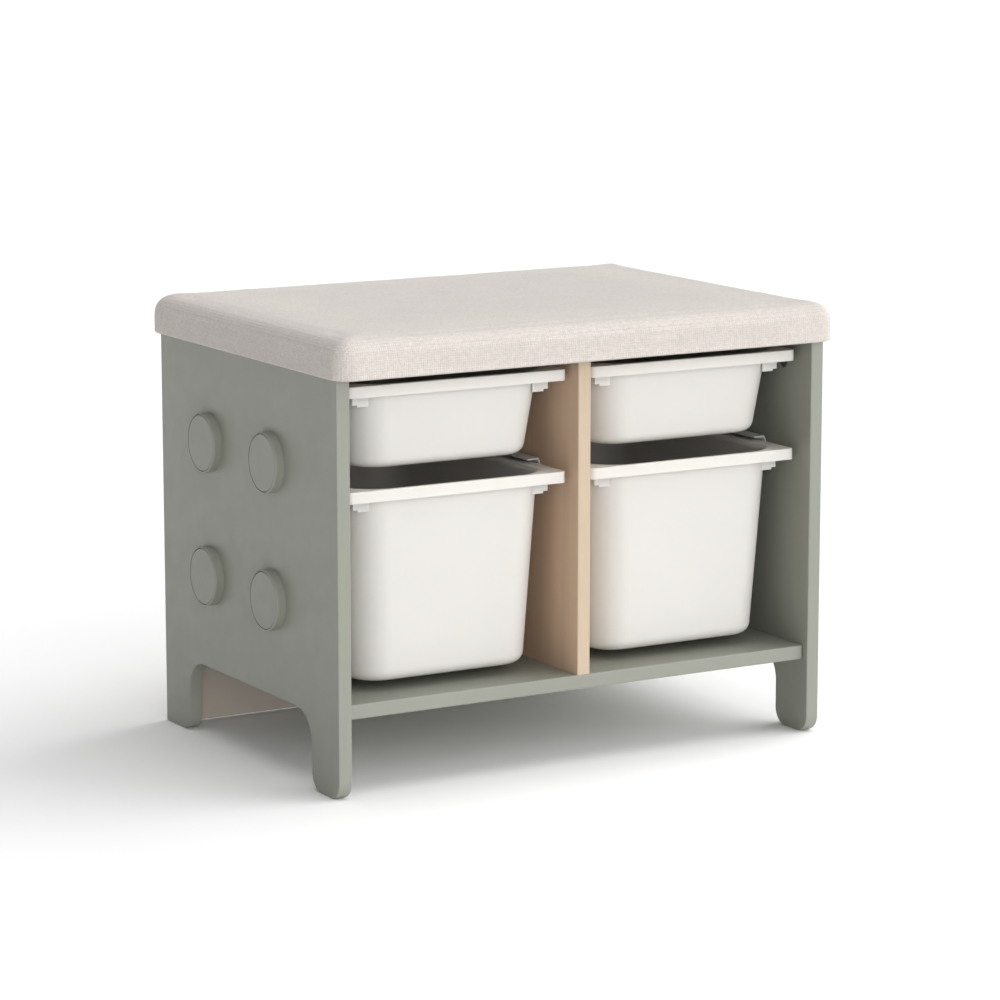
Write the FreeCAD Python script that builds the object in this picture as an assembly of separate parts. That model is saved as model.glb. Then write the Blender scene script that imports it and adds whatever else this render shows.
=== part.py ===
"""Children's storage bench: painted side panels with arched legs, a shelf, a divider and a back panel,
an upholstered seat, and four plastic bins that slide forward in side rails.

Millimetres. Origin: centre of the footprint on the floor. The open front faces -Y, +Z is up, and +X points
to the right of someone who faces the open front.
"""
import FreeCAD
import Part
import math
import os

V = FreeCAD.Vector

# ---------------------------------------------------------------- driving dimensions
# carcass
WIDTH = 700.0
DEPTH = 484.0
PANEL_HEIGHT = 512.0
BOARD = 18.0
BOARD_EDGE = 1.5
LEG_WIDTH = 71.0
ARCH_HEIGHT = 96.0
ARCH_RADIUS = 40.0
FOOT_RADIUS = 22.0
SHELF_BOTTOM = 97.0
SHELF_FRONT = -233.0
SHELF_CORNER = 4.0
DIVIDER_FRONT = -232.4
BACK_FRONT = 206.0
BACK_THICKNESS = 15.0
BACK_BOTTOM = 4.0

# seat
SEAT_HALF_WIDTH = 357.5
SEAT_HALF_DEPTH = 262.5
SEAT_HEIGHT = 52.5
SEAT_CORNER = 23.0
SEAT_TOP_RADIUS = 19.5
SEAT_BOTTOM_RADIUS = 3.0
COVER_THICKNESS = 1.2
HEM_WIDTH = 42.0
SEAT_BOARD_THICKNESS = 15.0
SEAT_BOARD_INSET = 5.5
DUST_COVER_THICKNESS = 0.6
DUST_COVER_MARGIN = 3.0
STAPLE_CROWN = 10.0
STAPLE_WIRE = 0.6
STAPLE_LEG = 7.0
STAPLE_BORDER = 8.0
STAPLE_FIRST_X = 45.0
STAPLE_PITCH_X = 82.0
STAPLE_FIRST_Y = -190.0
STAPLE_PITCH_Y = 90.0

# bins
BIN_WIDTH = 306.0
BIN_DEPTH = 420.0
RIM_CORNER = 8.0
RIM_EDGE = 0.8
RIM_SKIRT = 14.0
RIM_PLATE = 2.4
SKIRT_THICKNESS = 2.2
WALL = 2.4
SIDE_INSET_TOP = 18.0
SIDE_INSET_FOOT = 30.0
END_INSET_TOP = 10.2
END_INSET_FOOT = 26.0
WALL_CORNER_TOP = 45.0
WALL_CORNER_FOOT = 43.0
FOOT_ROUNDING = 14.0
MOUTH_ROUNDING = 8.0
BIN_FRONT = -219.5
UPPER_RIM_TOP = 498.8
LOWER_RIM_TOP = 371.3
SHALLOW_HEIGHT = 106.7
DEEP_HEIGHT = 243.9
RIB_THICKNESS = 1.6
GUIDE_RIB_INSET = 16.7
GUIDE_RIB_DROP = 25.4
GUSSET_INSET = 23.0
GUSSET_DROP = 28.0
GUSSET_STEP_DROP = 25.4
GUSSET_SETBACK = 18.5
GUSSET_REACH = 15.5

# rails
RAIL_FRONT = -150.0
RAIL_REAR = 200.0
RAIL_SIDE_GAP = 1.2
RAIL_WALL = 2.0
RAIL_LIP = 16.5
RAIL_OVER_RIM = 4.5
RAIL_UNDER_RIM = 0.3
RAIL_LEAD_IN = 6.0
RAIL_LEAD_IN_DEPTH = 4.5
RAIL_EDGE = 1.6
RAIL_BOSS_RADIUS = 6.5
RAIL_SCREW_Y = (-132.0, 25.0, 182.0)
RAIL_SCREW = (3.6, 1.7, 15.0)
RAIL_SCREW_BITE = 9.0

# round studs on the side panels
STUD_RADIUS = 38.0
STUD_THICKNESS = 12.0
STUD_EDGE = 2.0
STUD_SPACING = 171.5
STUD_CENTRE_Y = 17.6
STUD_CENTRE_Z = 303.5
CAP_RADIUS = 35.4
CAP_THICKNESS = 3.4
CAP_GAP = 0.8
CAP_EDGE = 0.6
CAP_SINK = 0.15
STUD_SCREW = (4.2, 2.0, 19.0)
STUD_SCREW_BITE = 12.0

# fittings; a screw is (head radius, shank radius, length)
FIT_GAP = 0.1
FRAME_SCREW = (4.6, 2.6, 48.0)
DIVIDER_SCREW_Y = (-200.0, -35.0, 160.0)
BACK_SCREW_Z = (180.0, 320.0, 460.0)
BACK_SCREW_X = (-220.0, -75.0, 75.0, 220.0)
CAM_RADIUS = 7.5
CAM_DEPTH = 12.5
CAM_SETBACK = 34.0
CAM_BOLT_DEPTH = 7.5
CAM_FACE_GAP = 0.2
CAM_HEAD_ROOM = 0.3
CAM_RECESS_SIZE = 8.0
CAM_RECESS_DEPTH = 1.4
BOLT_HOLE_RADIUS = 4.0
BOLT_THREAD_RADIUS = 2.8
BOLT_THREAD_DEPTH = 11.0
BOLT_HEAD_RADIUS = 3.2
BOLT_NECK_RADIUS = 2.0
SEAT_CAM_Y = (-180.0, 150.0)
SHELF_CAM_Y = (-170.0, 140.0)
BACK_CAM_Z = (60.0, 285.0, 440.0)
DOWEL_RADIUS = 4.0
DOWEL_LENGTH = 30.0
DOWEL_IN_PANEL = 11.0
DOWEL_IN_SHELF = 12.0
SHELF_DOWEL_Y = (-110.0, 80.0)
BACK_DOWEL_Z = (120.0, 370.0)
DIVIDER_DOWEL_Y = (-150.0, 80.0)

# ---------------------------------------------------------------- derived values
HALF_WIDTH = WIDTH / 2
HALF_DEPTH = DEPTH / 2
INNER_HALF = HALF_WIDTH - BOARD
SHELF_TOP = SHELF_BOTTOM + BOARD
SHELF_MIDDLE = SHELF_BOTTOM + BOARD / 2
BACK_REAR = BACK_FRONT + BACK_THICKNESS
BACK_MIDDLE = BACK_FRONT + BACK_THICKNESS / 2
INNER_TOP = PANEL_HEIGHT - DUST_COVER_THICKNESS
BAY_CENTRE = (BOARD / 2 + INNER_HALF) / 2
SEAT_BOARD_BOTTOM = PANEL_HEIGHT + COVER_THICKNESS
BIN_REAR = BIN_FRONT + BIN_DEPTH
BIN_TO_BOARD = (INNER_HALF - BOARD / 2 - BIN_WIDTH) / 2


# ---------------------------------------------------------------- shape helpers
def box(x0, x1, y0, y1, z0, z1):
    """A block between two corners, given in any order along each axis."""
    x0, x1 = sorted((x0, x1))
    y0, y1 = sorted((y0, y1))
    z0, z1 = sorted((z0, z1))
    return Part.makeBox(x1 - x0, y1 - y0, z1 - z0, V(x0, y0, z0))


def rod(radius, start, end):
    """A cylinder from one point to another."""
    axis = end - start
    return Part.makeCylinder(radius, axis.Length, start, axis)


def turned(start, direction, steps):
    """A solid of revolution about the line from start along direction. Each step is (distance, radius)."""
    points = [V(steps[0][0], 0, 0)]
    points += [V(distance, radius, 0) for distance, radius in steps]
    points += [V(steps[-1][0], 0, 0), points[0]]
    turned_solid = Part.Face(Part.makePolygon(points)).revolve(V(0, 0, 0), V(1, 0, 0), 360)
    turned_solid.Placement = FreeCAD.Placement(start, FreeCAD.Rotation(V(1, 0, 0), direction))
    return turned_solid


def rounded_wire(corners, place):
    """A closed wire through corners (a, b, radius), each rounded by a tangent arc where radius > 0.
    place(a, b) turns the two flat coordinates into a point."""
    starts = []
    arcs = []
    count = len(corners)
    for i in range(count):
        a, b, radius = corners[i]
        corner = V(a, b, 0)
        before = V(corners[i - 1][0], corners[i - 1][1], 0) - corner
        after = V(corners[(i + 1) % count][0], corners[(i + 1) % count][1], 0) - corner
        if radius == 0:
            starts.append((corner, corner))
            arcs.append(None)
            continue
        before.normalize()
        after.normalize()
        half_angle = before.getAngle(after) / 2
        reach = radius / math.tan(half_angle)
        bisector = before + after
        bisector.normalize()
        middle = corner + bisector * (radius / math.sin(half_angle) - radius)
        starts.append((corner + before * reach, corner + after * reach))
        arcs.append(middle)
    edges = []
    for i in range(count):
        entry, leave = starts[i]
        if arcs[i] is not None:
            points = [place(p.x, p.y) for p in (entry, arcs[i], leave)]
            edges.append(Part.Arc(*points).toShape())
        following = starts[(i + 1) % count][0]
        edges.append(Part.LineSegment(place(leave.x, leave.y), place(following.x, following.y)).toShape())
    return Part.Wire(edges)


def rectangle_wire(x0, x1, y0, y1, radius, z):
    """A level rectangle with four rounded corners."""
    corners = [(x0, y0, radius), (x1, y0, radius), (x1, y1, radius), (x0, y1, radius)]
    return rounded_wire(corners, lambda a, b: V(a, b, z))


def slab(x0, x1, y0, y1, radius, z0, z1):
    """A level plate with rounded vertical corners."""
    return Part.Face(rectangle_wire(x0, x1, y0, y1, radius, z0)).extrude(V(0, 0, z1 - z0))


def level_edges(shape, z):
    """The edges that lie wholly at one height."""
    return [e for e in shape.Edges
            if abs(e.BoundBox.ZMin - z) < 1e-3 and abs(e.BoundBox.ZMax - z) < 1e-3]


def flat_edges(shape, axis, value):
    """The edges that lie wholly in one plane square to an axis ("X", "Y" or "Z")."""
    return [e for e in shape.Edges
            if abs(getattr(e.BoundBox, axis + "Min") - value) < 1e-3
            and abs(getattr(e.BoundBox, axis + "Max") - value) < 1e-3]


def mirrored(shape):
    """The same shape on the other side of the bench's middle plane."""
    return shape.mirror(V(0, 0, 0), V(1, 0, 0))


def save(name, shape):
    """Write one sub-part, or a group of separate solids, as a STEP file."""
    shape.exportStep("parts/" + name + ".step")


def group(shapes):
    return Part.makeCompound(shapes)


# ---------------------------------------------------------------- fasteners
def cross_recess(point, direction, size, depth):
    """Two crossed slots, cut into a screw head along its axis."""
    slots = []
    for long_side, short_side in ((size, size / 4), (size / 4, size)):
        slot = Part.makeBox(long_side, short_side, depth, V(-long_side / 2, -short_side / 2, 0))
        slots.append(slot)
    cutter = slots[0].fuse(slots[1])
    turn = FreeCAD.Rotation(V(0, 0, 1), direction)
    cutter.Placement = FreeCAD.Placement(point, turn)
    return cutter


def countersunk_screw(point, direction, head_radius, shank_radius, length):
    """A countersunk screw. point is the middle of the head's face, direction the way it is driven."""
    head_height = head_radius - shank_radius
    tip_start = length - shank_radius * 1.6
    screw = turned(point, direction, [
        (0, head_radius),
        (head_height, shank_radius),
        (tip_start, shank_radius),
        (length, shank_radius / 5),
    ])
    recess = cross_recess(point, direction, head_radius * 1.1, head_height * 0.6)
    return screw.cut(recess).removeSplitter()


def screw_seat(point, direction, head_radius, shank_radius, length):
    """The countersink and pilot hole that a countersunk screw fills."""
    head_height = head_radius - shank_radius
    return turned(point, direction, [
        (0, head_radius + FIT_GAP),
        (head_height, shank_radius + FIT_GAP),
        (length + FIT_GAP, shank_radius + FIT_GAP),
    ])


def cam_pocket(centre, face_normal, toward_bolt, edge_distance):
    """The blind pocket of a cam and the bolt's hole from the board's edge to it.
    centre is the middle of the pocket's mouth, toward_bolt points to the board's edge."""
    inward = face_normal * -1
    pocket = rod(CAM_RADIUS + FIT_GAP, centre + face_normal, centre + inward * CAM_DEPTH)
    level = centre + inward * CAM_BOLT_DEPTH
    hole = rod(BOLT_HOLE_RADIUS, level, level + toward_bolt * (edge_distance + 1.0))
    return pocket.fuse(hole)


def cam_level(centre, face_normal):
    """The point on the cam's axis at the height of its bolt."""
    return centre - face_normal * CAM_BOLT_DEPTH


def cam_lock(centre, face_normal, toward_bolt):
    """A cam: a disc with a crossed recess, and a slot that takes the bolt's head."""
    inward = face_normal * -1
    face = centre + inward * CAM_FACE_GAP
    body = rod(CAM_RADIUS, face, centre + inward * (CAM_DEPTH - CAM_FACE_GAP))
    level = cam_level(centre, face_normal)
    room = BOLT_HEAD_RADIUS + CAM_HEAD_ROOM
    slot = rod(room, level - toward_bolt * room, level + toward_bolt * (CAM_RADIUS + 1))
    recess = cross_recess(face, inward, CAM_RECESS_SIZE, CAM_RECESS_DEPTH)
    return body.cut([slot, recess]).removeSplitter()


def cam_bolt(level, toward_bolt, edge_distance):
    """The bolt: a round head in the cam, a neck, a shank, and a thread in the other board."""
    head = BOLT_HEAD_RADIUS
    neck_end = CAM_RADIUS + 1.5
    shank_end = edge_distance - FIT_GAP
    thread_end = edge_distance + BOLT_THREAD_DEPTH
    return turned(level - toward_bolt * head, toward_bolt, [
        (0, head / 2),
        (head / 2, head),
        (head * 1.5, head),
        (head * 2, BOLT_NECK_RADIUS),
        (head + neck_end, BOLT_NECK_RADIUS),
        (head + neck_end, BOLT_HOLE_RADIUS - FIT_GAP * 3),
        (head + shank_end, BOLT_HOLE_RADIUS - FIT_GAP * 3),
        (head + shank_end, BOLT_THREAD_RADIUS),
        (head + thread_end, BOLT_THREAD_RADIUS),
    ])


def thread_hole(entry, toward_bolt):
    """The blind hole that takes the bolt's thread, from the face of the other board."""
    start = entry - toward_bolt
    return rod(BOLT_THREAD_RADIUS + FIT_GAP, start, entry + toward_bolt * (BOLT_THREAD_DEPTH + FIT_GAP))


# ---------------------------------------------------------------- where the fittings go
UP = V(0, 0, 1)
DOWN = V(0, 0, -1)
RIGHT = V(1, 0, 0)
REAR = V(0, 1, 0)
FORWARD = V(0, -1, 0)


def right_seat_cams():
    """Cams in the right panel's inner face; their bolts come down from the seat board."""
    return [(V(INNER_HALF, y, PANEL_HEIGHT - CAM_SETBACK), V(-1, 0, 0)) for y in SEAT_CAM_Y]


def right_shelf_cams():
    """Cams in the shelf's underside; their bolts run out to the right panel."""
    return [(V(INNER_HALF - CAM_SETBACK, y, SHELF_BOTTOM), DOWN) for y in SHELF_CAM_Y]


def right_back_cams():
    """Cams in the back panel's rear face; their bolts run out to the right panel."""
    return [(V(INNER_HALF - CAM_SETBACK, BACK_REAR, z), REAR) for z in BACK_CAM_Z]


def right_dowels():
    """Dowels from the shelf and the back panel into the right panel."""
    in_board = DOWEL_LENGTH - DOWEL_IN_PANEL
    points = [V(INNER_HALF, y, SHELF_MIDDLE) for y in SHELF_DOWEL_Y]
    points += [V(INNER_HALF, BACK_MIDDLE, z) for z in BACK_DOWEL_Z]
    return [(p - RIGHT * in_board, p + RIGHT * DOWEL_IN_PANEL) for p in points]


def divider_dowels():
    """Upright dowels between the shelf and the divider."""
    foot = SHELF_TOP - DOWEL_IN_SHELF
    return [(V(0, y, foot), V(0, y, foot + DOWEL_LENGTH)) for y in DIVIDER_DOWEL_Y]


def frame_screw_places():
    """Confirmat screws: up through the shelf into the divider, and through the back panel."""
    places = [(V(0, y, SHELF_BOTTOM), UP) for y in DIVIDER_SCREW_Y]
    places += [(V(0, BACK_REAR, z), FORWARD) for z in BACK_SCREW_Z]
    places += [(V(x, BACK_REAR, SHELF_MIDDLE), FORWARD) for x in BACK_SCREW_X]
    return places


# ---------------------------------------------------------------- carcass boards
def side_panel():
    """The right side panel: two legs, an arch between them, and small rounded edges all round."""
    rear_leg = HALF_DEPTH - LEG_WIDTH
    corners = [
        (HALF_DEPTH, 0, 0),
        (rear_leg, 0, FOOT_RADIUS),
        (rear_leg, ARCH_HEIGHT, ARCH_RADIUS),
        (-rear_leg, ARCH_HEIGHT, ARCH_RADIUS),
        (-rear_leg, 0, FOOT_RADIUS),
        (-HALF_DEPTH, 0, FOOT_RADIUS),
        (-HALF_DEPTH, PANEL_HEIGHT, 0),
        (HALF_DEPTH, PANEL_HEIGHT, 0),
    ]
    outline = rounded_wire(corners, lambda a, b: V(INNER_HALF, a, b))
    panel = Part.Face(outline).extrude(V(BOARD, 0, 0))
    rims = flat_edges(panel, "X", INNER_HALF) + flat_edges(panel, "X", HALF_WIDTH)
    panel = panel.makeFillet(BOARD_EDGE, rims)
    cutters = []
    for centre, normal in right_seat_cams():
        cutters.append(cam_pocket(centre, normal, UP, CAM_SETBACK))
    for centre, normal in right_shelf_cams() + right_back_cams():
        level = cam_level(centre, normal)
        cutters.append(thread_hole(V(INNER_HALF, level.y, level.z), RIGHT))
    for start, end in right_dowels():
        cutters.append(rod(DOWEL_RADIUS + FIT_GAP, V(INNER_HALF - 1, start.y, start.z), end + RIGHT * FIT_GAP))
    for name, centre in stud_places():
        cutters.append(rod(STUD_SCREW[1] + FIT_GAP, centre + RIGHT, centre - RIGHT * STUD_SCREW_BITE))
    for y, z, side in rail_screw_points():
        if side == "outer":
            cutters.append(rod(RAIL_SCREW[1] + FIT_GAP, V(INNER_HALF - 1, y, z),
                               V(INNER_HALF + RAIL_SCREW_BITE, y, z)))
    return panel.cut(cutters).removeSplitter()


def bottom_shelf():
    """The shelf: front corners and front edges rounded, cam pockets underneath."""
    shelf = box(-INNER_HALF, INNER_HALF, SHELF_FRONT, BACK_FRONT, SHELF_BOTTOM, SHELF_TOP)
    uprights = [e for e in shelf.Edges
                if abs(e.BoundBox.YMax - SHELF_FRONT) < 1e-3 and e.BoundBox.ZLength > BOARD / 2]
    shelf = shelf.makeFillet(SHELF_CORNER, uprights)
    fronts = [e for e in shelf.Edges
              if abs(e.BoundBox.YMax - SHELF_FRONT) < 1e-3 and e.BoundBox.ZLength < 1e-3]
    shelf = shelf.makeFillet(BOARD_EDGE, fronts)
    cutters = []
    for centre, normal in right_shelf_cams():
        pocket = cam_pocket(centre, normal, RIGHT, CAM_SETBACK)
        cutters += [pocket, mirrored(pocket)]
    for start, end in right_dowels():
        if start.y < BACK_FRONT:
            hole = rod(DOWEL_RADIUS + FIT_GAP, start - RIGHT * FIT_GAP, end)
            cutters += [hole, mirrored(hole)]
    for start, end in divider_dowels():
        cutters.append(rod(DOWEL_RADIUS + FIT_GAP, start - UP * FIT_GAP, end))
    for point, direction in frame_screw_places():
        cutters.append(screw_seat(point, direction, *FRAME_SCREW))
    return shelf.cut(cutters).removeSplitter()


def divider_board():
    """The centre board between the two bays, with eased front edges."""
    half = BOARD / 2
    board = box(-half, half, DIVIDER_FRONT, BACK_FRONT, SHELF_TOP, INNER_TOP)
    fronts = [e for e in board.Edges
              if abs(e.BoundBox.YMax - DIVIDER_FRONT) < 1e-3 and e.BoundBox.ZLength > half]
    board = board.makeFillet(BOARD_EDGE, fronts)
    cutters = []
    for start, end in divider_dowels():
        cutters.append(rod(DOWEL_RADIUS + FIT_GAP, start, end + UP * FIT_GAP))
    for point, direction in frame_screw_places():
        cutters.append(screw_seat(point, direction, *FRAME_SCREW))
    for y, z, side in rail_screw_points():
        if side == "inner":
            cutters.append(rod(RAIL_SCREW[1] + FIT_GAP, V(half + 1, y, z), V(half - RAIL_SCREW_BITE, y, z)))
            cutters.append(rod(RAIL_SCREW[1] + FIT_GAP, V(-half - 1, y, z), V(RAIL_SCREW_BITE - half, y, z)))
    return board.cut(cutters).removeSplitter()


def back_board():
    """The back panel, from just above the floor to the seat, with cam pockets on its rear face."""
    board = box(-INNER_HALF, INNER_HALF, BACK_FRONT, BACK_REAR, BACK_BOTTOM, INNER_TOP)
    board = board.makeFillet(BOARD_EDGE, level_edges(board, BACK_BOTTOM))
    cutters = []
    for centre, normal in right_back_cams():
        pocket = cam_pocket(centre, normal, RIGHT, CAM_SETBACK)
        cutters += [pocket, mirrored(pocket)]
    for start, end in right_dowels():
        if start.y > BACK_FRONT:
            hole = rod(DOWEL_RADIUS + FIT_GAP, start - RIGHT * FIT_GAP, end)
            cutters += [hole, mirrored(hole)]
    for point, direction in frame_screw_places():
        cutters.append(screw_seat(point, direction, *FRAME_SCREW))
    return board.cut(cutters).removeSplitter()


# ---------------------------------------------------------------- seat
def seat_block(inset, z0):
    """The cushion's outer form, drawn in by inset on the sides and top: crowned edges, round corners."""
    half_x = SEAT_HALF_WIDTH - inset
    half_y = SEAT_HALF_DEPTH - inset
    top = PANEL_HEIGHT + SEAT_HEIGHT - inset
    block = slab(-half_x, half_x, -half_y, half_y, SEAT_CORNER - inset, z0, top)
    return block.makeFillet(SEAT_TOP_RADIUS - inset, level_edges(block, top))


def seat_pieces():
    """Board, foam, fabric cover with its turned-under hem, and the dust cover."""
    board_x = SEAT_HALF_WIDTH - SEAT_BOARD_INSET
    board_y = SEAT_HALF_DEPTH - SEAT_BOARD_INSET
    board_top = SEAT_BOARD_BOTTOM + SEAT_BOARD_THICKNESS
    board = slab(-board_x, board_x, -board_y, board_y, SEAT_CORNER - SEAT_BOARD_INSET,
                 SEAT_BOARD_BOTTOM, board_top)
    filling = seat_block(COVER_THICKNESS, SEAT_BOARD_BOTTOM)
    foam = filling.cut(board)
    skin = seat_block(0, PANEL_HEIGHT)
    skin = skin.makeFillet(SEAT_BOTTOM_RADIUS, level_edges(skin, PANEL_HEIGHT))
    open_x = board_x - HEM_WIDTH
    open_y = board_y - HEM_WIDTH
    opening = box(-open_x, open_x, -open_y, open_y, PANEL_HEIGHT - 1, SEAT_BOARD_BOTTOM + 1)
    cover = skin.cut([filling, opening])
    dust_x = INNER_HALF - DUST_COVER_MARGIN
    dust_y = HALF_DEPTH - DUST_COVER_MARGIN
    dust = box(-dust_x, dust_x, -dust_y, dust_y, INNER_TOP, PANEL_HEIGHT)
    bolt_holes = []
    for centre, normal in right_seat_cams():
        level = cam_level(centre, normal)
        hole = rod(BOLT_THREAD_RADIUS + FIT_GAP, V(level.x, level.y, PANEL_HEIGHT - 1),
                   V(level.x, level.y, PANEL_HEIGHT + BOLT_THREAD_DEPTH + FIT_GAP))
        bolt_holes += [hole, mirrored(hole)]
    return board.cut(bolt_holes), foam, cover.cut(bolt_holes), dust


def staple(x, y, along_x):
    """One staple, its crown under the dust cover and its legs driven up into the board."""
    length = STAPLE_CROWN / 2
    wire = STAPLE_WIRE
    crown_bottom = INNER_TOP - wire
    top = crown_bottom + STAPLE_LEG
    if along_x:
        crown = box(x - length, x + length, y - wire, y + wire, crown_bottom, INNER_TOP)
        legs = [box(x + s * length, x + s * (length - wire), y - wire, y + wire, crown_bottom, top)
                for s in (-1, 1)]
    else:
        crown = box(x - wire, x + wire, y - length, y + length, crown_bottom, INNER_TOP)
        legs = [box(x - wire, x + wire, y + s * length, y + s * (length - wire), crown_bottom, top)
                for s in (-1, 1)]
    return crown.fuse(legs).removeSplitter()


def staples():
    """Staples round the dust cover, clear of the divider and the back panel."""
    edge_x = INNER_HALF - DUST_COVER_MARGIN - STAPLE_BORDER
    edge_y = HALF_DEPTH - DUST_COVER_MARGIN - STAPLE_BORDER / 2
    found = []
    for y in (-edge_y, edge_y):
        for step in range(4):
            x = STAPLE_FIRST_X + step * STAPLE_PITCH_X
            found += [staple(x, y, True), staple(-x, y, True)]
    for step in range(5):
        y = STAPLE_FIRST_Y + step * STAPLE_PITCH_Y
        found += [staple(edge_x, y, False), staple(-edge_x, y, False)]
    return found


# ---------------------------------------------------------------- studs
def stud_places():
    """Names and centres of the four studs on the right panel's outer face."""
    places = []
    for y_name, y_side in (("front", -0.5), ("rear", 0.5)):
        for z_name, z_side in (("bottom", -0.5), ("top", 0.5)):
            y = STUD_CENTRE_Y + y_side * STUD_SPACING
            z = STUD_CENTRE_Z + z_side * STUD_SPACING
            places.append((y_name + "_" + z_name, V(HALF_WIDTH, y, z)))
    return places


def stud_cup(centre):
    """A stud's body: a round puck with an eased rim, a shallow recess for the cap and a screw hole."""
    face = centre + RIGHT * STUD_THICKNESS
    puck = rod(STUD_RADIUS, centre, face)
    puck = puck.makeFillet(STUD_EDGE, flat_edges(puck, "X", face.x))
    floor = face - RIGHT * CAP_THICKNESS
    recess = rod(CAP_RADIUS + CAP_GAP, floor, face + RIGHT)
    return puck.cut([recess, screw_seat(floor, RIGHT * -1, *STUD_SCREW)]).removeSplitter()


def stud_cap(centre):
    """The disc that covers the screw and lies flush in the cup."""
    face = centre + RIGHT * (STUD_THICKNESS - CAP_SINK)
    disc = rod(CAP_RADIUS, centre + RIGHT * (STUD_THICKNESS - CAP_THICKNESS), face)
    return disc.makeFillet(CAP_EDGE, flat_edges(disc, "X", face.x))


def stud_screw(centre):
    floor = centre + RIGHT * (STUD_THICKNESS - CAP_THICKNESS)
    return countersunk_screw(floor, RIGHT * -1, *STUD_SCREW)


# ---------------------------------------------------------------- rails
def rail_screw_points():
    """(y, z, side) of each rail screw: outer rails are on the side panels, inner ones on the divider."""
    return [(y, rim_top - RIM_SKIRT / 2, side)
            for rim_top in (UPPER_RIM_TOP, LOWER_RIM_TOP)
            for y in RAIL_SCREW_Y
            for side in ("outer", "inner")]


def rail(wall_x, toward_bin, rim_top):
    """A C-shaped rail on the board face at wall_x. Its lower lip carries the bin's rim, its upper lip
    stops the bin from tipping, and three bosses hold it off the board."""
    rim_edge = wall_x + toward_bin * BIN_TO_BOARD
    web_inner = rim_edge - toward_bin * RAIL_SIDE_GAP
    web_outer = web_inner - toward_bin * RAIL_WALL
    lip_end = web_inner + toward_bin * RAIL_LIP
    low = rim_top - RIM_SKIRT - RAIL_UNDER_RIM
    high = rim_top + RAIL_OVER_RIM
    channel = box(web_outer, web_inner, RAIL_FRONT, RAIL_REAR, low - RAIL_WALL, high + RAIL_WALL)
    channel = channel.fuse([
        box(web_outer, lip_end, RAIL_FRONT, RAIL_REAR, low - RAIL_WALL, low),
        box(web_outer, lip_end, RAIL_FRONT, RAIL_REAR, high, high + RAIL_WALL),
    ]).removeSplitter()
    outer_edges = [e for e in flat_edges(channel, "X", web_outer) if e.BoundBox.YLength > 100]
    channel = channel.makeFillet(RAIL_EDGE, outer_edges)
    lead_in = [
        (RAIL_FRONT - 1, low + RIM_SKIRT, 0),
        (RAIL_FRONT + RAIL_LEAD_IN, high + RAIL_WALL + 1, 0),
        (RAIL_FRONT - 1, high + RAIL_WALL + 1, 0),
    ]
    slope = rounded_wire(lead_in, lambda a, b: V(web_outer - toward_bin, a, b))
    wedge = Part.Face(slope).extrude(V(toward_bin * RAIL_LEAD_IN_DEPTH, 0, 0))
    channel = channel.cut(wedge)
    middle = rim_top - RIM_SKIRT / 2
    bosses = [rod(RAIL_BOSS_RADIUS, V(wall_x, y, middle), V(web_outer, y, middle)) for y in RAIL_SCREW_Y]
    channel = channel.fuse(bosses)
    holes = [screw_seat(V(web_inner, y, middle), V(-toward_bin, 0, 0), *RAIL_SCREW) for y in RAIL_SCREW_Y]
    screws = [countersunk_screw(V(web_inner, y, middle), V(-toward_bin, 0, 0), *RAIL_SCREW)
              for y in RAIL_SCREW_Y]
    return channel.cut(holes).removeSplitter(), screws


# ---------------------------------------------------------------- bins
def bin_section(centre_x, side_inset, end_inset, radius, z):
    """The bin's plan at one height, drawn in from the rim's outline on the sides and on both ends."""
    half = BIN_WIDTH / 2 - side_inset
    return rectangle_wire(centre_x - half, centre_x + half, BIN_FRONT + end_inset, BIN_REAR - end_inset,
                          radius, z)


def tapered_tub(centre_x, rim_top, height, shrink):
    """The tub's solid form, drawn in by shrink, from the rim's top down to a rounded foot."""
    foot = rim_top - height + shrink
    top = bin_section(centre_x, SIDE_INSET_TOP + shrink, END_INSET_TOP + shrink,
                      WALL_CORNER_TOP - shrink, rim_top)
    bottom = bin_section(centre_x, SIDE_INSET_FOOT + shrink, END_INSET_FOOT + shrink,
                         WALL_CORNER_FOOT - shrink, foot)
    tub = Part.makeLoft([bottom, top], True, True)
    return tub.makeFillet(FOOT_ROUNDING - shrink, level_edges(tub, foot))


def bin_ribs(centre_x, rim_top, core):
    """Under the rim: a guide rib along each side and a gusset across each corner, each of them rooted in
    the tub's wall. core is the tub's form at the middle of its wall."""
    half = BIN_WIDTH / 2
    ceiling = rim_top - RIM_PLATE / 2
    ribs = []
    for side in (-1, 1):
        outer = centre_x + side * (half - GUIDE_RIB_INSET)
        inner = outer - side * RIB_THICKNESS
        ribs.append(box(outer, inner, BIN_FRONT + GUSSET_SETBACK, BIN_REAR - GUSSET_SETBACK,
                        rim_top - GUIDE_RIB_DROP, ceiling))
        tip = centre_x + side * (half - GUSSET_INSET)
        for y in (BIN_FRONT + GUSSET_SETBACK, BIN_REAR - GUSSET_SETBACK - RIB_THICKNESS):
            ribs.append(box(tip, tip - side * GUSSET_REACH, y, y + RIB_THICKNESS,
                            rim_top - GUSSET_DROP, ceiling))
            ribs.append(box(inner, tip, y, y + RIB_THICKNESS, rim_top - GUSSET_STEP_DROP, ceiling))
    return [rib.cut(core) for rib in ribs]


def throat_edges(shape, centre_x, z):
    """The edges at one height that go round the tub, apart from those at the rim's outside."""
    reach = BIN_WIDTH / 2 - SIDE_INSET_TOP + 1
    return [e for e in level_edges(shape, z)
            if e.BoundBox.XMin > centre_x - reach and e.BoundBox.XMax < centre_x + reach]


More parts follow.
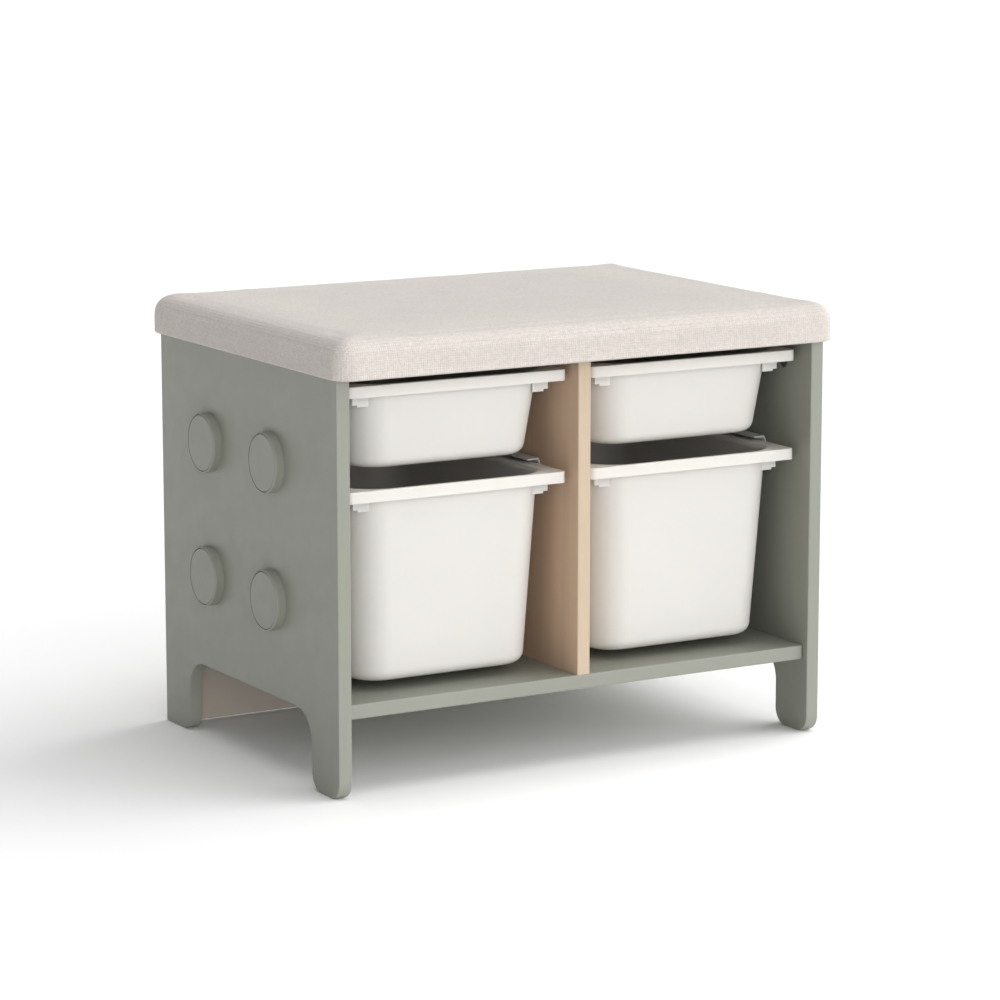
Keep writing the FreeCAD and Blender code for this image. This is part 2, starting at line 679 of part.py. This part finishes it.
def storage_bin(centre_x, rim_top, height):
    """A moulded bin: a tapered tub with a flared mouth, a flat rim with a skirt, and ribs under it."""
    tub = tapered_tub(centre_x, rim_top, height, 0)
    cavity = tapered_tub(centre_x, rim_top, height, WALL)
    half = BIN_WIDTH / 2
    skirt_foot = rim_top - RIM_SKIRT
    rim = slab(centre_x - half, centre_x + half, BIN_FRONT, BIN_REAR, RIM_CORNER, skirt_foot, rim_top)
    rim = rim.makeFillet(RIM_EDGE, level_edges(rim, rim_top))
    inset = SKIRT_THICKNESS
    under = slab(centre_x - half + inset, centre_x + half - inset, BIN_FRONT + inset, BIN_REAR - inset,
                 RIM_CORNER - inset, skirt_foot - 1, rim_top - RIM_PLATE)
    under = under.cut(tub)
    throat = throat_edges(under, centre_x, rim_top - RIM_PLATE)
    under = under.makeFillet(MOUTH_ROUNDING - WALL, throat)
    shell = tub.fuse(rim.cut(under)).cut(cavity).removeSplitter()
    shell = shell.makeFillet(MOUTH_ROUNDING, throat_edges(shell, centre_x, rim_top))
    core = tapered_tub(centre_x, rim_top, height, WALL / 2)
    return shell.fuse(bin_ribs(centre_x, rim_top, core)).removeSplitter()


# ---------------------------------------------------------------- write every sub-part
def write_carcass():
    panel = side_panel()
    save("side_panel_right", panel)
    save("side_panel_left", mirrored(panel))
    save("bottom_shelf", bottom_shelf())
    save("divider", divider_board())
    save("back_panel", back_board())


def write_seat():
    board, foam, cover, dust = seat_pieces()
    save("seat_board", board)
    save("seat_foam", foam)
    save("seat_cover", cover)
    save("seat_dust_cover", dust)
    save("seat_staples", group(staples()))


def write_studs():
    screws = []
    for place, centre in stud_places():
        cup = stud_cup(centre)
        cap = stud_cap(centre)
        screw = stud_screw(centre)
        save("stud_right_" + place, cup)
        save("stud_left_" + place, mirrored(cup))
        save("stud_cap_right_" + place, cap)
        save("stud_cap_left_" + place, mirrored(cap))
        screws += [screw, mirrored(screw)]
    save("stud_screws", group(screws))


def write_bins_and_rails():
    screws = []
    levels = (("upper", UPPER_RIM_TOP, SHALLOW_HEIGHT), ("lower", LOWER_RIM_TOP, DEEP_HEIGHT))
    for level, rim_top, height in levels:
        tub = storage_bin(BAY_CENTRE, rim_top, height)
        save("bin_" + level + "_right", tub)
        save("bin_" + level + "_left", mirrored(tub))
        for place, wall_x, toward_bin in (("outer", INNER_HALF, -1), ("inner", BOARD / 2, 1)):
            channel, fixings = rail(wall_x, toward_bin, rim_top)
            save("rail_" + level + "_right_" + place, channel)
            save("rail_" + level + "_left_" + place, mirrored(channel))
            screws += fixings + [mirrored(s) for s in fixings]
    save("rail_screws", group(screws))


def write_fittings():
    sets = (
        ("seat", right_seat_cams(), UP),
        ("shelf", right_shelf_cams(), RIGHT),
        ("back", right_back_cams(), RIGHT),
    )
    for name, places, toward_bolt in sets:
        cams = []
        bolts = []
        for centre, normal in places:
            cam = cam_lock(centre, normal, toward_bolt)
            bolt = cam_bolt(cam_level(centre, normal), toward_bolt, CAM_SETBACK)
            cams += [cam, mirrored(cam)]
            bolts += [bolt, mirrored(bolt)]
        save("cam_locks_" + name, group(cams))
        save("cam_bolts_" + name, group(bolts))
    pins = []
    for start, end in right_dowels():
        pin = rod(DOWEL_RADIUS, start, end)
        pins += [pin, mirrored(pin)]
    pins += [rod(DOWEL_RADIUS, start, end) for start, end in divider_dowels()]
    save("dowels", group(pins))
    screws = [countersunk_screw(point, direction, *FRAME_SCREW) for point, direction in frame_screw_places()]
    save("frame_screws", group(screws))


os.makedirs("parts", exist_ok=True)
write_carcass()
write_seat()
write_studs()
write_bins_and_rails()
write_fittings()
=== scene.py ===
import math

import bmesh
import bpy
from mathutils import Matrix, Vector, noise


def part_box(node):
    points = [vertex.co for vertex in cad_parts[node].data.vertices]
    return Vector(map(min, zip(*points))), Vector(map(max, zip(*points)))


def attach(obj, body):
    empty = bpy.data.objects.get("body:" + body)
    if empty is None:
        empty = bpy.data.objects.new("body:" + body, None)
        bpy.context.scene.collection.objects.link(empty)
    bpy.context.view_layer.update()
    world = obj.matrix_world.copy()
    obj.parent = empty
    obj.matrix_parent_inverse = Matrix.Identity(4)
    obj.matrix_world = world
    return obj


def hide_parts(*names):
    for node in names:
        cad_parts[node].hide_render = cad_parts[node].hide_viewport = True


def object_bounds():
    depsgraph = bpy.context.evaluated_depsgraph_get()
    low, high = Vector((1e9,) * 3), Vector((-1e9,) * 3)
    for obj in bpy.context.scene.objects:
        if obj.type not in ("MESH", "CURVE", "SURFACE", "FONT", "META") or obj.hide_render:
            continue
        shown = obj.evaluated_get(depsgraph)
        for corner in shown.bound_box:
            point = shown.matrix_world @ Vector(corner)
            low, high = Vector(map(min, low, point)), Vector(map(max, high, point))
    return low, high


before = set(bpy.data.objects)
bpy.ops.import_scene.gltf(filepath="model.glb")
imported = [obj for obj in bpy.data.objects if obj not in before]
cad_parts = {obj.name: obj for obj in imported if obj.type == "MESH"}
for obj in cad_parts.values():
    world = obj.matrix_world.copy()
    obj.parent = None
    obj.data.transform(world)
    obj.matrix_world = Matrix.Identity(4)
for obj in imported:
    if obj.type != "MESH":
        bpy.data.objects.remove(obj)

MM = 0.001
CAD_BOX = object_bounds()


# ---------------------------------------------------------------- colours and finishes

def srgb(red, green, blue):
    """A display colour, each part from 0 to 255, as the linear RGBA that a shader takes."""
    def linear(part):
        share = part / 255
        return share / 12.92 if share <= 0.04045 else ((share + 0.055) / 1.055) ** 2.4
    return (linear(red), linear(green), linear(blue), 1.0)


def shaded(colour, factor):
    """The same hue, lighter or darker by a factor."""
    return tuple(min(1.0, part * factor) for part in colour[:3]) + (1.0,)


class Finish:
    """A Principled material with short calls for the nodes that feed it."""

    def __init__(self, name, roughness, **settings):
        self.material = bpy.data.materials.new(name)
        self.material.use_nodes = True
        self.tree = self.material.node_tree
        self.shader = self.tree.nodes["Principled BSDF"]
        self.set("Roughness", roughness)
        for socket, value in settings.items():
            self.set(socket.replace("_", " "), value)
        self.place = self.add("ShaderNodeTexCoord").outputs["Object"]

    def add(self, kind, inputs=None, **settings):
        node = self.tree.nodes.new(kind)
        for setting, value in settings.items():
            setattr(node, setting, value)
        for socket, value in (inputs or {}).items():
            self.feed(node.inputs[socket], value)
        return node

    def feed(self, socket, value):
        if isinstance(value, bpy.types.NodeSocket):
            self.tree.links.new(value, socket)
        else:
            socket.default_value = value

    def set(self, socket, value):
        self.feed(self.shader.inputs[socket], value)

    def stretched(self, x, y, z):
        """Object coordinates scaled along each axis: a small factor draws a pattern out along that axis."""
        return self.add("ShaderNodeMapping", {"Vector": self.place, "Scale": (x, y, z)}).outputs["Vector"]

    def noise(self, where, scale, detail=3.0, roughness=0.5, distortion=0.0):
        sockets = {"Vector": where, "Scale": scale, "Detail": detail,
                   "Roughness": roughness, "Distortion": distortion}
        return self.add("ShaderNodeTexNoise", sockets).outputs["Fac"]

    def threads(self, axis, pitch, distortion):
        """Rounded ribs with the given pitch, one after another along an axis."""
        sockets = {"Vector": self.place, "Scale": math.tau / (20 * pitch), "Distortion": distortion,
                   "Detail": 2.0, "Detail Scale": 1.5}
        return self.add("ShaderNodeTexWave", sockets, bands_direction=axis).outputs["Fac"]

    def spread(self, value, low, high, to_low=0.0, to_high=1.0):
        """A value from low to high spread over another range, and held at its ends."""
        sockets = {"Value": value, "From Min": low, "From Max": high, "To Min": to_low, "To Max": to_high}
        return self.add("ShaderNodeMapRange", sockets).outputs["Result"]

    def sum(self, *values):
        total = values[0]
        for value in values[1:]:
            total = self.add("ShaderNodeMath", {0: total, 1: value}, operation="ADD").outputs[0]
        return total

    def product(self, first, second):
        return self.add("ShaderNodeMath", {0: first, 1: second}, operation="MULTIPLY").outputs[0]

    def mixed(self, factor, first, second):
        sockets = {"Factor": factor, "A": first, "B": second}
        node = self.add("ShaderNodeMix", data_type="RGBA")
        for socket, value in sockets.items():
            found = [s for s in node.inputs if s.name == socket and s.type in ("RGBA", "VALUE") and s.enabled]
            self.feed(found[0], value)
        return [s for s in node.outputs if s.type == "RGBA"][0]

    def tinted(self, value, low, high, colour, darker, lighter):
        """A colour that goes from one shade to another as a value goes from low to high."""
        return self.mixed(self.spread(value, low, high), shaded(colour, darker), shaded(colour, lighter))

    def bump(self, height, depth, strength=1.0):
        sockets = {"Height": height, "Distance": depth, "Strength": strength}
        self.set("Normal", self.add("ShaderNodeBump", sockets).outputs["Normal"])


SAGE = srgb(141, 143, 133)
# the divider's side colour: redder than its edges, with painted warm bounce light on the sides
BEECH_SIDES_PAINTED_BOUNCE = srgb(205, 177, 151)
BEECH_EDGE = srgb(192, 173, 151)
GREIGE = srgb(183, 174, 163)
LINEN = srgb(203, 196, 190)
BIN_WHITE = srgb(219, 215, 209)
RAIL_GREY = srgb(196, 197, 196)


def painted(name, colour, roughness=0.42, peel=0.9):
    """Sprayed satin paint: a fine orange peel and a barely uneven tone."""
    finish = Finish(name, roughness, Specular_IOR_Level=0.4)
    cloud = finish.noise(finish.place, 7.0, 4.0)
    haze = finish.noise(finish.place, 45.0)
    finish.set("Base Color", finish.tinted(cloud, 0.3, 0.7, colour, 0.975, 1.02))
    finish.set("Roughness", finish.spread(haze, 0.35, 0.65, roughness - 0.04, roughness + 0.05))
    finish.bump(finish.noise(finish.place, 650.0, 2.0), 0.03 * MM, peel)
    return finish.material


def beech(name, colour, edge):
    """Steamed beech with an upright grain: long soft bands, fine fibres and short dark rays. The edges
    towards the front and the back take edge, partly a paler banding; the other faces take colour, which for
    the divider is made redder with painted warm bounce light on its sides."""
    finish = Finish(name, 0.5, Specular_IOR_Level=0.35)
    bands = finish.noise(finish.stretched(38, 38, 1.6), 1.0, 4.0, 0.55, 0.4)
    fibres = finish.noise(finish.stretched(900, 900, 22), 1.0, 3.0, 0.6)
    rays = finish.noise(finish.stretched(1500, 1500, 260), 1.0, 1.0)
    tone = finish.tinted(bands, 0.32, 0.68, colour, 0.93, 1.05)
    tone = finish.mixed(finish.spread(fibres, 0.45, 0.8, 0.0, 0.25), tone, shaded(colour, 0.78))
    tone = finish.mixed(finish.spread(rays, 0.66, 0.76, 0.0, 0.35), tone, shaded(colour, 0.62))
    banding = finish.tinted(fibres, 0.4, 0.75, edge, 1.02, 0.9)
    normal = finish.add("ShaderNodeTexCoord").outputs["Normal"]
    forward = finish.add("ShaderNodeSeparateXYZ", {"Vector": normal}).outputs["Y"]
    # edges towards the front and back keep the paler banding tone; the sides get colour, which carries
    # painted warm bounce light
    edges_vs_painted_bounce_sides = finish.spread(finish.product(forward, forward), 0.4, 0.6)
    finish.set("Base Color", finish.mixed(edges_vs_painted_bounce_sides, tone, banding))
    finish.set("Roughness", finish.spread(fibres, 0.3, 0.7, 0.44, 0.56))
    finish.bump(fibres, 0.05 * MM, 0.7)
    return finish.material


def laminate(name, colour):
    """Low-pressure laminate: a pearly, finely textured even tone."""
    finish = Finish(name, 0.55, Specular_IOR_Level=0.35)
    grain = finish.noise(finish.stretched(500, 500, 500), 1.0, 2.0)
    cloud = finish.noise(finish.place, 9.0, 3.0)
    finish.set("Base Color", finish.tinted(cloud, 0.3, 0.7, colour, 0.97, 1.02))
    finish.bump(grain, 0.04 * MM, 0.8)
    return finish.material


VENEER = 3.0 * MM


def plywood(name, colour):
    """Plain birch ply with its veneers showing along the edges."""
    finish = Finish(name, 0.6)
    veneers = finish.threads("Z", VENEER, 0.1)
    grain = finish.noise(finish.stretched(4, 260, 260), 1.0, 4.0)
    tone = finish.mixed(finish.spread(veneers, 0.35, 0.65), shaded(colour, 0.78), colour)
    streaks = finish.spread(grain, 0.4, 0.75, 0.0, 0.4)
    finish.set("Base Color", finish.mixed(streaks, tone, shaded(colour, 0.7)))
    finish.bump(grain, 0.06 * MM, 0.8)
    return finish.material


def moulded(name, colour, roughness=0.4, texture=0.6, glow=0.0):
    """Injection-moulded polypropylene: a matt, spark-eroded texture and a soft sheen. glow is the share of
    the light that spreads inside the plastic."""
    finish = Finish(name, roughness, Specular_IOR_Level=0.45, Subsurface_Weight=glow, Subsurface_Scale=8 * MM,
                    Subsurface_Radius=(1.0, 0.92, 0.82))
    flow = finish.noise(finish.place, 5.0, 2.0)
    haze = finish.noise(finish.place, 160.0)
    finish.set("Base Color", finish.tinted(flow, 0.3, 0.7, colour, 0.985, 1.01))
    finish.set("Roughness", finish.spread(haze, 0.3, 0.7, roughness - 0.03, roughness + 0.04))
    finish.bump(finish.noise(finish.place, 1400.0, 1.0), 0.02 * MM, texture)
    return finish.material


def metal(name, colour, roughness):
    """Plated or die-cast metal: faint mottling and a fine, even roughness."""
    finish = Finish(name, roughness, Metallic=1.0)
    mottle = finish.noise(finish.place, 420.0, 3.0)
    finish.set("Base Color", finish.mixed(finish.spread(mottle, 0.3, 0.7), shaded(colour, 0.85), colour))
    finish.set("Roughness", finish.spread(mottle, 0.3, 0.7, roughness - 0.06, roughness + 0.1))
    finish.bump(finish.noise(finish.place, 1800.0, 2.0), 0.02 * MM, 0.8)
    return finish.material


def linen(name, colour):
    """Woven upholstery: threads along every axis, so that each face shows warp and weft, with slubs and
    mottling."""
    thread = 2.9 * MM
    finish = Finish(name, 0.92, Specular_IOR_Level=0.2, Sheen_Weight=0.25, Sheen_Roughness=0.45)
    ribs = finish.sum(*[finish.threads(axis, thread, 2.4) for axis in "XYZ"])
    slubs = finish.sum(
        finish.noise(finish.stretched(150, 480, 480), 1.0, 2.0, 0.6),
        finish.noise(finish.stretched(480, 150, 480), 1.0, 2.0, 0.6),
        finish.noise(finish.stretched(480, 480, 150), 1.0, 2.0, 0.6))
    cloud = finish.noise(finish.place, 14.0, 4.0)
    tone = finish.tinted(slubs, 1.2, 1.8, colour, 0.87, 1.1)
    tone = finish.mixed(finish.spread(ribs, 0.9, 2.1, 0.34, 0.0), tone, shaded(colour, 0.7))
    tone = finish.mixed(finish.spread(cloud, 0.35, 0.65, 0.0, 0.16), tone, shaded(colour, 0.9))
    finish.set("Base Color", tone)
    finish.bump(finish.sum(ribs, finish.product(slubs, 1.5)), 0.22 * MM, 0.8)
    return finish.material


def foam(name, colour):
    """Open-cell polyurethane foam."""
    finish = Finish(name, 0.95)
    cells = finish.add("ShaderNodeTexVoronoi", {"Vector": finish.place, "Scale": 700.0}).outputs["Distance"]
    finish.set("Base Color", finish.mixed(finish.spread(cells, 0.1, 0.7), shaded(colour, 0.75), colour))
    finish.bump(cells, 0.3 * MM)
    return finish.material


def black_felt(name, colour):
    """Spun-bonded black lining: matted fibres and the dotted bonding pattern."""
    dot_pitch = 1.6 * MM
    finish = Finish(name, 0.9, Specular_IOR_Level=0.2, Sheen_Weight=0.15)
    fibres = finish.noise(finish.place, 900.0, 4.0, 0.7)
    dots = finish.product(finish.threads("X", dot_pitch, 0.0), finish.threads("Y", dot_pitch, 0.0))
    finish.set("Base Color", finish.tinted(fibres, 0.35, 0.7, colour, 0.7, 1.5))
    finish.bump(finish.sum(fibres, finish.product(dots, 0.8)), 0.1 * MM)
    return finish.material


FINISHES = {
    "painted_board": painted("finish_painted_board", SAGE),
    "stud_paint": painted("finish_stud_paint", SAGE, 0.45, 0.6),
    "stud_cap_paint": painted("finish_stud_cap_paint", SAGE, 0.45, 0.6),
    "natural_wood": beech("finish_natural_wood", BEECH_SIDES_PAINTED_BOUNCE, BEECH_EDGE),
    "back_board": laminate("finish_back_board", GREIGE),
    "dowel_wood": beech("finish_dowel_wood", srgb(205, 180, 146), srgb(198, 172, 138)),
    "seat_ply": plywood("finish_seat_ply", srgb(208, 182, 146)),
    "foam": foam("finish_foam", srgb(232, 222, 196)),
    "seat_fabric": linen("finish_seat_fabric", LINEN),
    "black_cloth": black_felt("finish_black_cloth", srgb(38, 36, 35)),
    "bin_plastic": moulded("finish_bin_plastic", BIN_WHITE, glow=0.85),
    "rail_plastic": moulded("finish_rail_plastic", RAIL_GREY, 0.45, 0.8),
    "cam_metal": metal("finish_cam_metal", srgb(150, 150, 148), 0.42),
    "bolt_steel": metal("finish_bolt_steel", srgb(190, 188, 184), 0.3),
    "screw_steel": metal("finish_screw_steel", srgb(186, 184, 178), 0.32),
}


def finish_frame():
    """Gives every CAD node the finish of its material slot."""
    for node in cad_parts.values():
        for place in node.material_slots:
            place.material = FINISHES[place.material.name.split(".")[0]]


# ---------------------------------------------------------------- seat cushion

TOP_RADIUS = 24 * MM            # rounding of the top edges and of the upright corners
HEM_RADIUS = 3 * MM             # where the cover turns under the board
HEM_MARGIN = 1 * MM             # the cover is held this far above that turn too
CELL = 6 * MM                   # spacing of the cushion's mesh before subdivision
CROWN_SLACK = 3 * MM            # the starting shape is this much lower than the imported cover
SWELL = 4 * MM                  # the most that the top may rise, in its middle
SIDE_BULGE = 0.9 * MM           # the most that a side may swell out or be drawn in, in its middle
SWELL_FRAMES = 20
RIPPLES = ((16, 0.5), (45, 0.25))       # waves per metre and height in mm of the top's unevenness


def evenly(low, high, step):
    count = max(1, round((high - low) / step))
    return [low + (high - low) * index / count for index in range(count + 1)]


def box_shell(name, levels):
    """The surface of a box as a grid of quads, with the given levels along x, y and z."""
    mesh = bpy.data.meshes.new(name)
    shell = bmesh.new()
    found = {}

    def corner(index):
        if index not in found:
            found[index] = shell.verts.new([levels[axis][index[axis]] for axis in range(3)])
        return found[index]

    for axis in range(3):
        across, along = (axis + 1) % 3, (axis + 2) % 3
        for side in (0, len(levels[axis]) - 1):
            for first in range(len(levels[across]) - 1):
                for second in range(len(levels[along]) - 1):
                    loop = []
                    for step in ((0, 0), (1, 0), (1, 1), (0, 1)):
                        index = [0, 0, 0]
                        index[axis] = side
                        index[across] = first + step[0]
                        index[along] = second + step[1]
                        loop.append(corner(tuple(index)))
                    shell.faces.new(loop if side else loop[::-1])
    shell.to_mesh(mesh)
    shell.free()
    mesh.shade_smooth()
    piece = bpy.data.objects.new(name, mesh)
    bpy.context.scene.collection.objects.link(piece)
    return piece


def rounded(point, reach, floor_level):
    """A point of a box moved onto the same box with rounded top edges and upright corners. reach holds the
    box's half width, its half depth and the height of its top."""
    core = Vector((max(-reach.x + TOP_RADIUS, min(reach.x - TOP_RADIUS, point.x)),
                   max(-reach.y + TOP_RADIUS, min(reach.y - TOP_RADIUS, point.y)),
                   min(reach.z - TOP_RADIUS, point.z)))
    out = point - core
    if out.length > 0:
        out *= max(abs(part) for part in out) / out.length
    result = core + out
    above_floor = point.z - floor_level
    if above_floor < HEM_RADIUS:
        inward = HEM_RADIUS - math.sqrt(HEM_RADIUS ** 2 - (HEM_RADIUS - above_floor) ** 2)
        result.x *= (reach.x - inward) / reach.x
        result.y *= (reach.y - inward) / reach.y
    return result


def swell(piece, reach, held_below):
    """Pumps the closed cover up with cloth simulation, held along its hem, and keeps the moved shape within
    SWELL on top and SIDE_BULGE on the sides."""
    hem = piece.vertex_groups.new(name="hem")
    hem.add([v.index for v in piece.data.vertices if v.co.z < held_below], 1.0, "REPLACE")
    cloth = piece.modifiers.new("swell", "CLOTH")
    cloth.settings.quality = 6
    cloth.settings.mass = 0.3
    cloth.settings.tension_stiffness = 15
    cloth.settings.compression_stiffness = 15
    cloth.settings.bending_stiffness = 2
    cloth.settings.use_pressure = True
    cloth.settings.uniform_pressure_force = 4
    cloth.settings.vertex_group_mass = hem.name
    cloth.settings.effector_weights.gravity = 0
    cloth.collision_settings.use_collision = False
    scene = bpy.context.scene
    for number in range(1, SWELL_FRAMES + 1):
        scene.frame_set(number)
    swollen = piece.evaluated_get(bpy.context.evaluated_depsgraph_get()).to_mesh()
    for vertex, moved in zip(piece.data.vertices, swollen.vertices):
        step = moved.co - vertex.co
        nearer, farther = sorted((min(1, abs(vertex.co.x) / reach.x), min(1, abs(vertex.co.y) / reach.y)))
        rise = SWELL * (1 - farther ** 4)
        bulge = SIDE_BULGE * (1 - nearer ** 4)
        sideways = step.xy
        if sideways.length > bulge:
            sideways *= bulge / sideways.length
        vertex.co += Vector((sideways.x, sideways.y, max(-bulge, min(rise, step.z))))
    piece.modifiers.clear()
    piece.vertex_groups.clear()
    scene.frame_set(1)


def seat_cushion():
    """The upholstered foam pad: a crowned closed form, flat where it rests on the side panels."""
    low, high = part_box("seat_cover")
    centre = (low + high) / 2
    reach = Vector(((high.x - low.x) / 2, (high.y - low.y) / 2, high.z - CROWN_SLACK))
    heights = [low.z, low.z + HEM_RADIUS / 3, low.z + HEM_RADIUS]
    heights += evenly(low.z + 2 * HEM_RADIUS, reach.z - TOP_RADIUS, CELL)
    heights += evenly(reach.z - TOP_RADIUS, reach.z, TOP_RADIUS / 4)[1:]
    sides = [[-size] + [c for c in evenly(-size, size, CELL) if abs(c) < size] + [size] for size in reach.xy]
    piece = box_shell("seat_cushion", [sides[0], sides[1], heights])
    for vertex in piece.data.vertices:
        vertex.co = rounded(vertex.co.copy(), reach, low.z)
        vertex.co.x += centre.x
        vertex.co.y += centre.y
    swell(piece, reach, low.z + HEM_RADIUS + HEM_MARGIN)
    for vertex in piece.data.vertices:
        if vertex.co.z > low.z + HEM_RADIUS:
            ripple = sum(noise.noise(vertex.co * waves) * height for waves, height in RIPPLES)
            vertex.co += vertex.normal * ripple * MM
    smooth = piece.modifiers.new("smooth", "SUBSURF")
    smooth.levels = 1
    apply_modifiers(piece)
    piece.data.materials.append(FINISHES["seat_fabric"])
    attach(piece, "carcass")
    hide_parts("seat_cover", "seat_foam")


def apply_modifiers(piece):
    """Bakes a piece's modifiers into its mesh."""
    shape = bpy.data.meshes.new_from_object(piece.evaluated_get(bpy.context.evaluated_depsgraph_get()))
    piece.modifiers.clear()
    piece.data = shape
    piece.data.shade_smooth()


# ---------------------------------------------------------------- dust cover

SAG = 1.6 * MM                  # the most that the lining hangs down, in the middle of each bay
LINING_CELL = 8 * MM
CREASES = 22                    # waves per metre of the sag's unevenness


def dust_cover():
    """The black lining stapled under the seat: it sags a little between the boards that it lies on."""
    low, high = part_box("seat_dust_cover")
    divider_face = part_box("divider")[1].x
    levels = [evenly(low.x, high.x, LINING_CELL), evenly(low.y, high.y, LINING_CELL), [low.z, high.z]]
    piece = box_shell("dust_cover_lining", levels)
    for vertex in piece.data.vertices:
        across = (abs(vertex.co.x) - divider_face) / (high.x - divider_face)
        along = (vertex.co.y - low.y) / (high.y - low.y)
        if 0 < across < 1 and 0 < along < 1:
            hang = math.sin(math.pi * across) * math.sin(math.pi * along)
            crease = 0.5 + 0.5 * noise.noise(vertex.co * CREASES)
            vertex.co.z -= SAG * hang * (0.6 + 0.4 * crease)
    piece.data.materials.append(FINISHES["black_cloth"])
    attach(piece, "carcass")
    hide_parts("seat_dust_cover")


# ---------------------------------------------------------------- floor, light and camera

VIEW_AZIMUTH = -30.3            # degrees, seen from the front left
VIEW_ELEVATION = 10.34
VIEW_DISTANCE = 4.78
VIEW_RIGHT = 0.013              # the aim point's offset from the middle of the object
VIEW_UP = 0.017
LENS = 133.4                    # mm
SENSOR_WIDTH = 36               # mm

FLOOR_SIZE = 400
WORLD_STRENGTH = 0.26
SUNS = (                        # name, azimuth, elevation, strength, angular spread in degrees
    ("key_light", 80, 32, 2.4, 70),
    ("front_light", 20, 20, 1.0, 50),
    ("low_light", -15, 8, 1.15, 40),
    ("top_light", 0, 85, 1.0, 50),
)


def stage_floor():
    """A white studio floor that runs far beyond the view."""
    bpy.ops.mesh.primitive_plane_add(size=FLOOR_SIZE)
    floor = bpy.context.object
    floor.name = "studio_floor"
    white = Finish("studio_white", 0.8, Base_Color=(0.96, 0.96, 0.96, 1), Specular_IOR_Level=0.0)
    floor.data.materials.append(white.material)


def sun(name, azimuth, elevation, strength, spread):
    """Soft white light from far away. Azimuth 0 comes from the front, and 90 from the right-hand side."""
    lamp = bpy.data.lights.new(name, "SUN")
    lamp.energy = strength
    lamp.angle = math.radians(spread)
    holder = bpy.data.objects.new(name, lamp)
    bpy.context.scene.collection.objects.link(holder)
    holder.rotation_euler = (math.radians(90 - elevation), 0, math.radians(azimuth))


def light_world(strength):
    world = bpy.data.worlds.new("studio_world")
    world.use_nodes = True
    background = world.node_tree.nodes["Background"]
    background.inputs["Color"].default_value = (1, 1, 1, 1)
    background.inputs["Strength"].default_value = strength
    bpy.context.scene.world = world


def place_camera():
    low, high = CAD_BOX
    turn = math.radians(VIEW_AZIMUTH)
    tilt = math.radians(VIEW_ELEVATION)
    rightward = Vector((math.cos(turn), math.sin(turn), 0))
    aim = (Vector(low) + Vector(high)) / 2 + rightward * VIEW_RIGHT + Vector((0, 0, VIEW_UP))
    back = Vector((math.sin(turn) * math.cos(tilt), -math.cos(turn) * math.cos(tilt), math.sin(tilt)))
    data = bpy.data.cameras.new("camera")
    data.lens = LENS
    data.sensor_width = SENSOR_WIDTH
    data.clip_end = 1000
    camera = bpy.data.objects.new("camera", data)
    bpy.context.scene.collection.objects.link(camera)
    camera.location = aim + back * VIEW_DISTANCE
    camera.rotation_euler = (-back).to_track_quat("-Z", "Y").to_euler()
    bpy.context.scene.camera = camera


place_camera()
finish_frame()
seat_cushion()
dust_cover()
stage_floor()
light_world(WORLD_STRENGTH)
for settings in SUNS:
    sun(*settings)
bpy.context.scene.view_settings.view_transform = "Standard"
